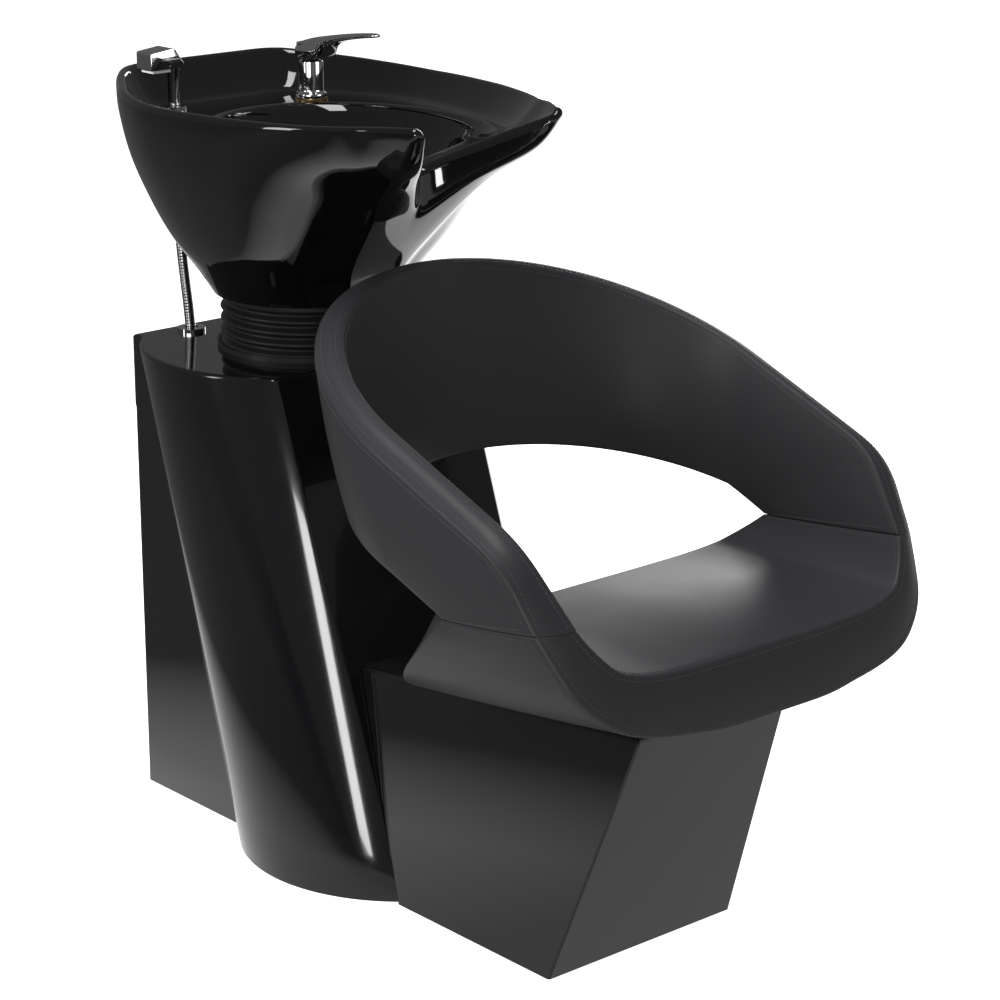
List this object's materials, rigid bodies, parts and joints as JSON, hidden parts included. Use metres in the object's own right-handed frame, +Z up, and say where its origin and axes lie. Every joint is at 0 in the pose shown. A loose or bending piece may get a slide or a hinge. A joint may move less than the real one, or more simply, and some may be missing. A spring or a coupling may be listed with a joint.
{
  "type": "hairdressing sink",
  "caption": "Salon backwash unit: a tilting glazed basin with mixer and hand spray on a leaning column, joined by a plinth to a wrap-round tub chair.",
  "frame": {"origin": "on the floor, on the mid plane, inside the column's footprint at the floor frame's underside", "axes": "+Z up; the seated client faces -Y; +X is the client's left hand side, where the mixer stands"},
  "size_m": [0.6334, 1.1099, 1.043],
  "materials": {
    "gelcoat_black": "high gloss",
    "glaze_black": "glazed",
    "vinyl_black": "fine grained satin vinyl",
    "rubber_black": "satin",
    "chrome": "polished",
    "brass": "satin",
    "steel_grey": "powder coated",
    "steel_bright": "zinc plated",
    "plastic_black": "matte",
    "plastic_pale": "matte",
    "plywood": "plywood"
  },
  "bodies": {
    "base": {"column_shell": "gelcoat_black", "plinth_shell": "gelcoat_black", "floor_frame": "steel_grey", "support_post": "steel_grey", "post_cap": "steel_grey", "tilt_yoke": "steel_grey", "tilt_pin": "steel_bright", "yoke_bolts": "steel_bright", "gaiter": "rubber_black", "gaiter_ring": "plastic_black", "hose_escutcheon": "chrome", "spray_hose": "chrome", "seat_board": "plywood", "seat_rails": "plastic_black", "seat_bolts": "steel_bright", "arm_straps": "steel_grey", "seat_cushion": "vinyl_black", "back_cushion": "vinyl_black", "hinge_leaves_fixed": "steel_bright", "hinge_pins": "steel_bright"},
    "basin": {"basin": "glaze_black", "basin_hull": "glaze_black", "basin_bracket": "steel_grey", "bracket_bolts": "steel_bright", "waste_strainer": "chrome", "waste_tail": "plastic_black", "waste_nut": "plastic_black", "mixer_gasket": "brass", "mixer_body": "chrome", "mixer_nut": "brass", "mixer_cartridge": "plastic_black", "spray_socket": "chrome", "hose_guide": "plastic_black"},
    "mixer_turret": {"mixer_turret": "plastic_black"},
    "mixer_lever": {"mixer_lever": "chrome"},
    "hand_spray": {"spray_handle": "chrome", "spray_head": "chrome", "spray_face": "plastic_pale", "hose_lead": "chrome"},
    "rear_door": {"rear_door": "gelcoat_black", "door_knob": "plastic_black", "hinge_leaves_door": "steel_bright"}
  },
  "joints": [
    {"name": "basin_tilt", "type": "hinge", "parent": "base", "child": "basin", "pos_m": [0, 0.306, 0.68], "axis": [1, 0, 0], "range_deg": [-8, 4], "deforming": ["gaiter", "spray_hose"]},
    {"name": "mixer_swivel", "type": "hinge", "parent": "basin", "child": "mixer_turret", "pos_m": [0.092, 0.412, 0.993], "axis": [0, 0, 1], "range_deg": [-45, 45]},
    {"name": "mixer_lift", "type": "hinge", "parent": "mixer_turret", "child": "mixer_lever", "pos_m": [0.092, 0.412, 1.007], "axis": [-1, 0, 0], "range_deg": [0, 14]},
    {"name": "spray_lift", "type": "slide", "parent": "basin", "child": "hand_spray", "axis": [0, 0, 1], "range_m": [0, 0.08]},
    {"name": "door_swing", "type": "hinge", "parent": "base", "child": "rear_door", "pos_m": [-0.109, 0.4995, 0.3], "axis": [0, 0, 1], "range_deg": [0, 100]}
  ]
}
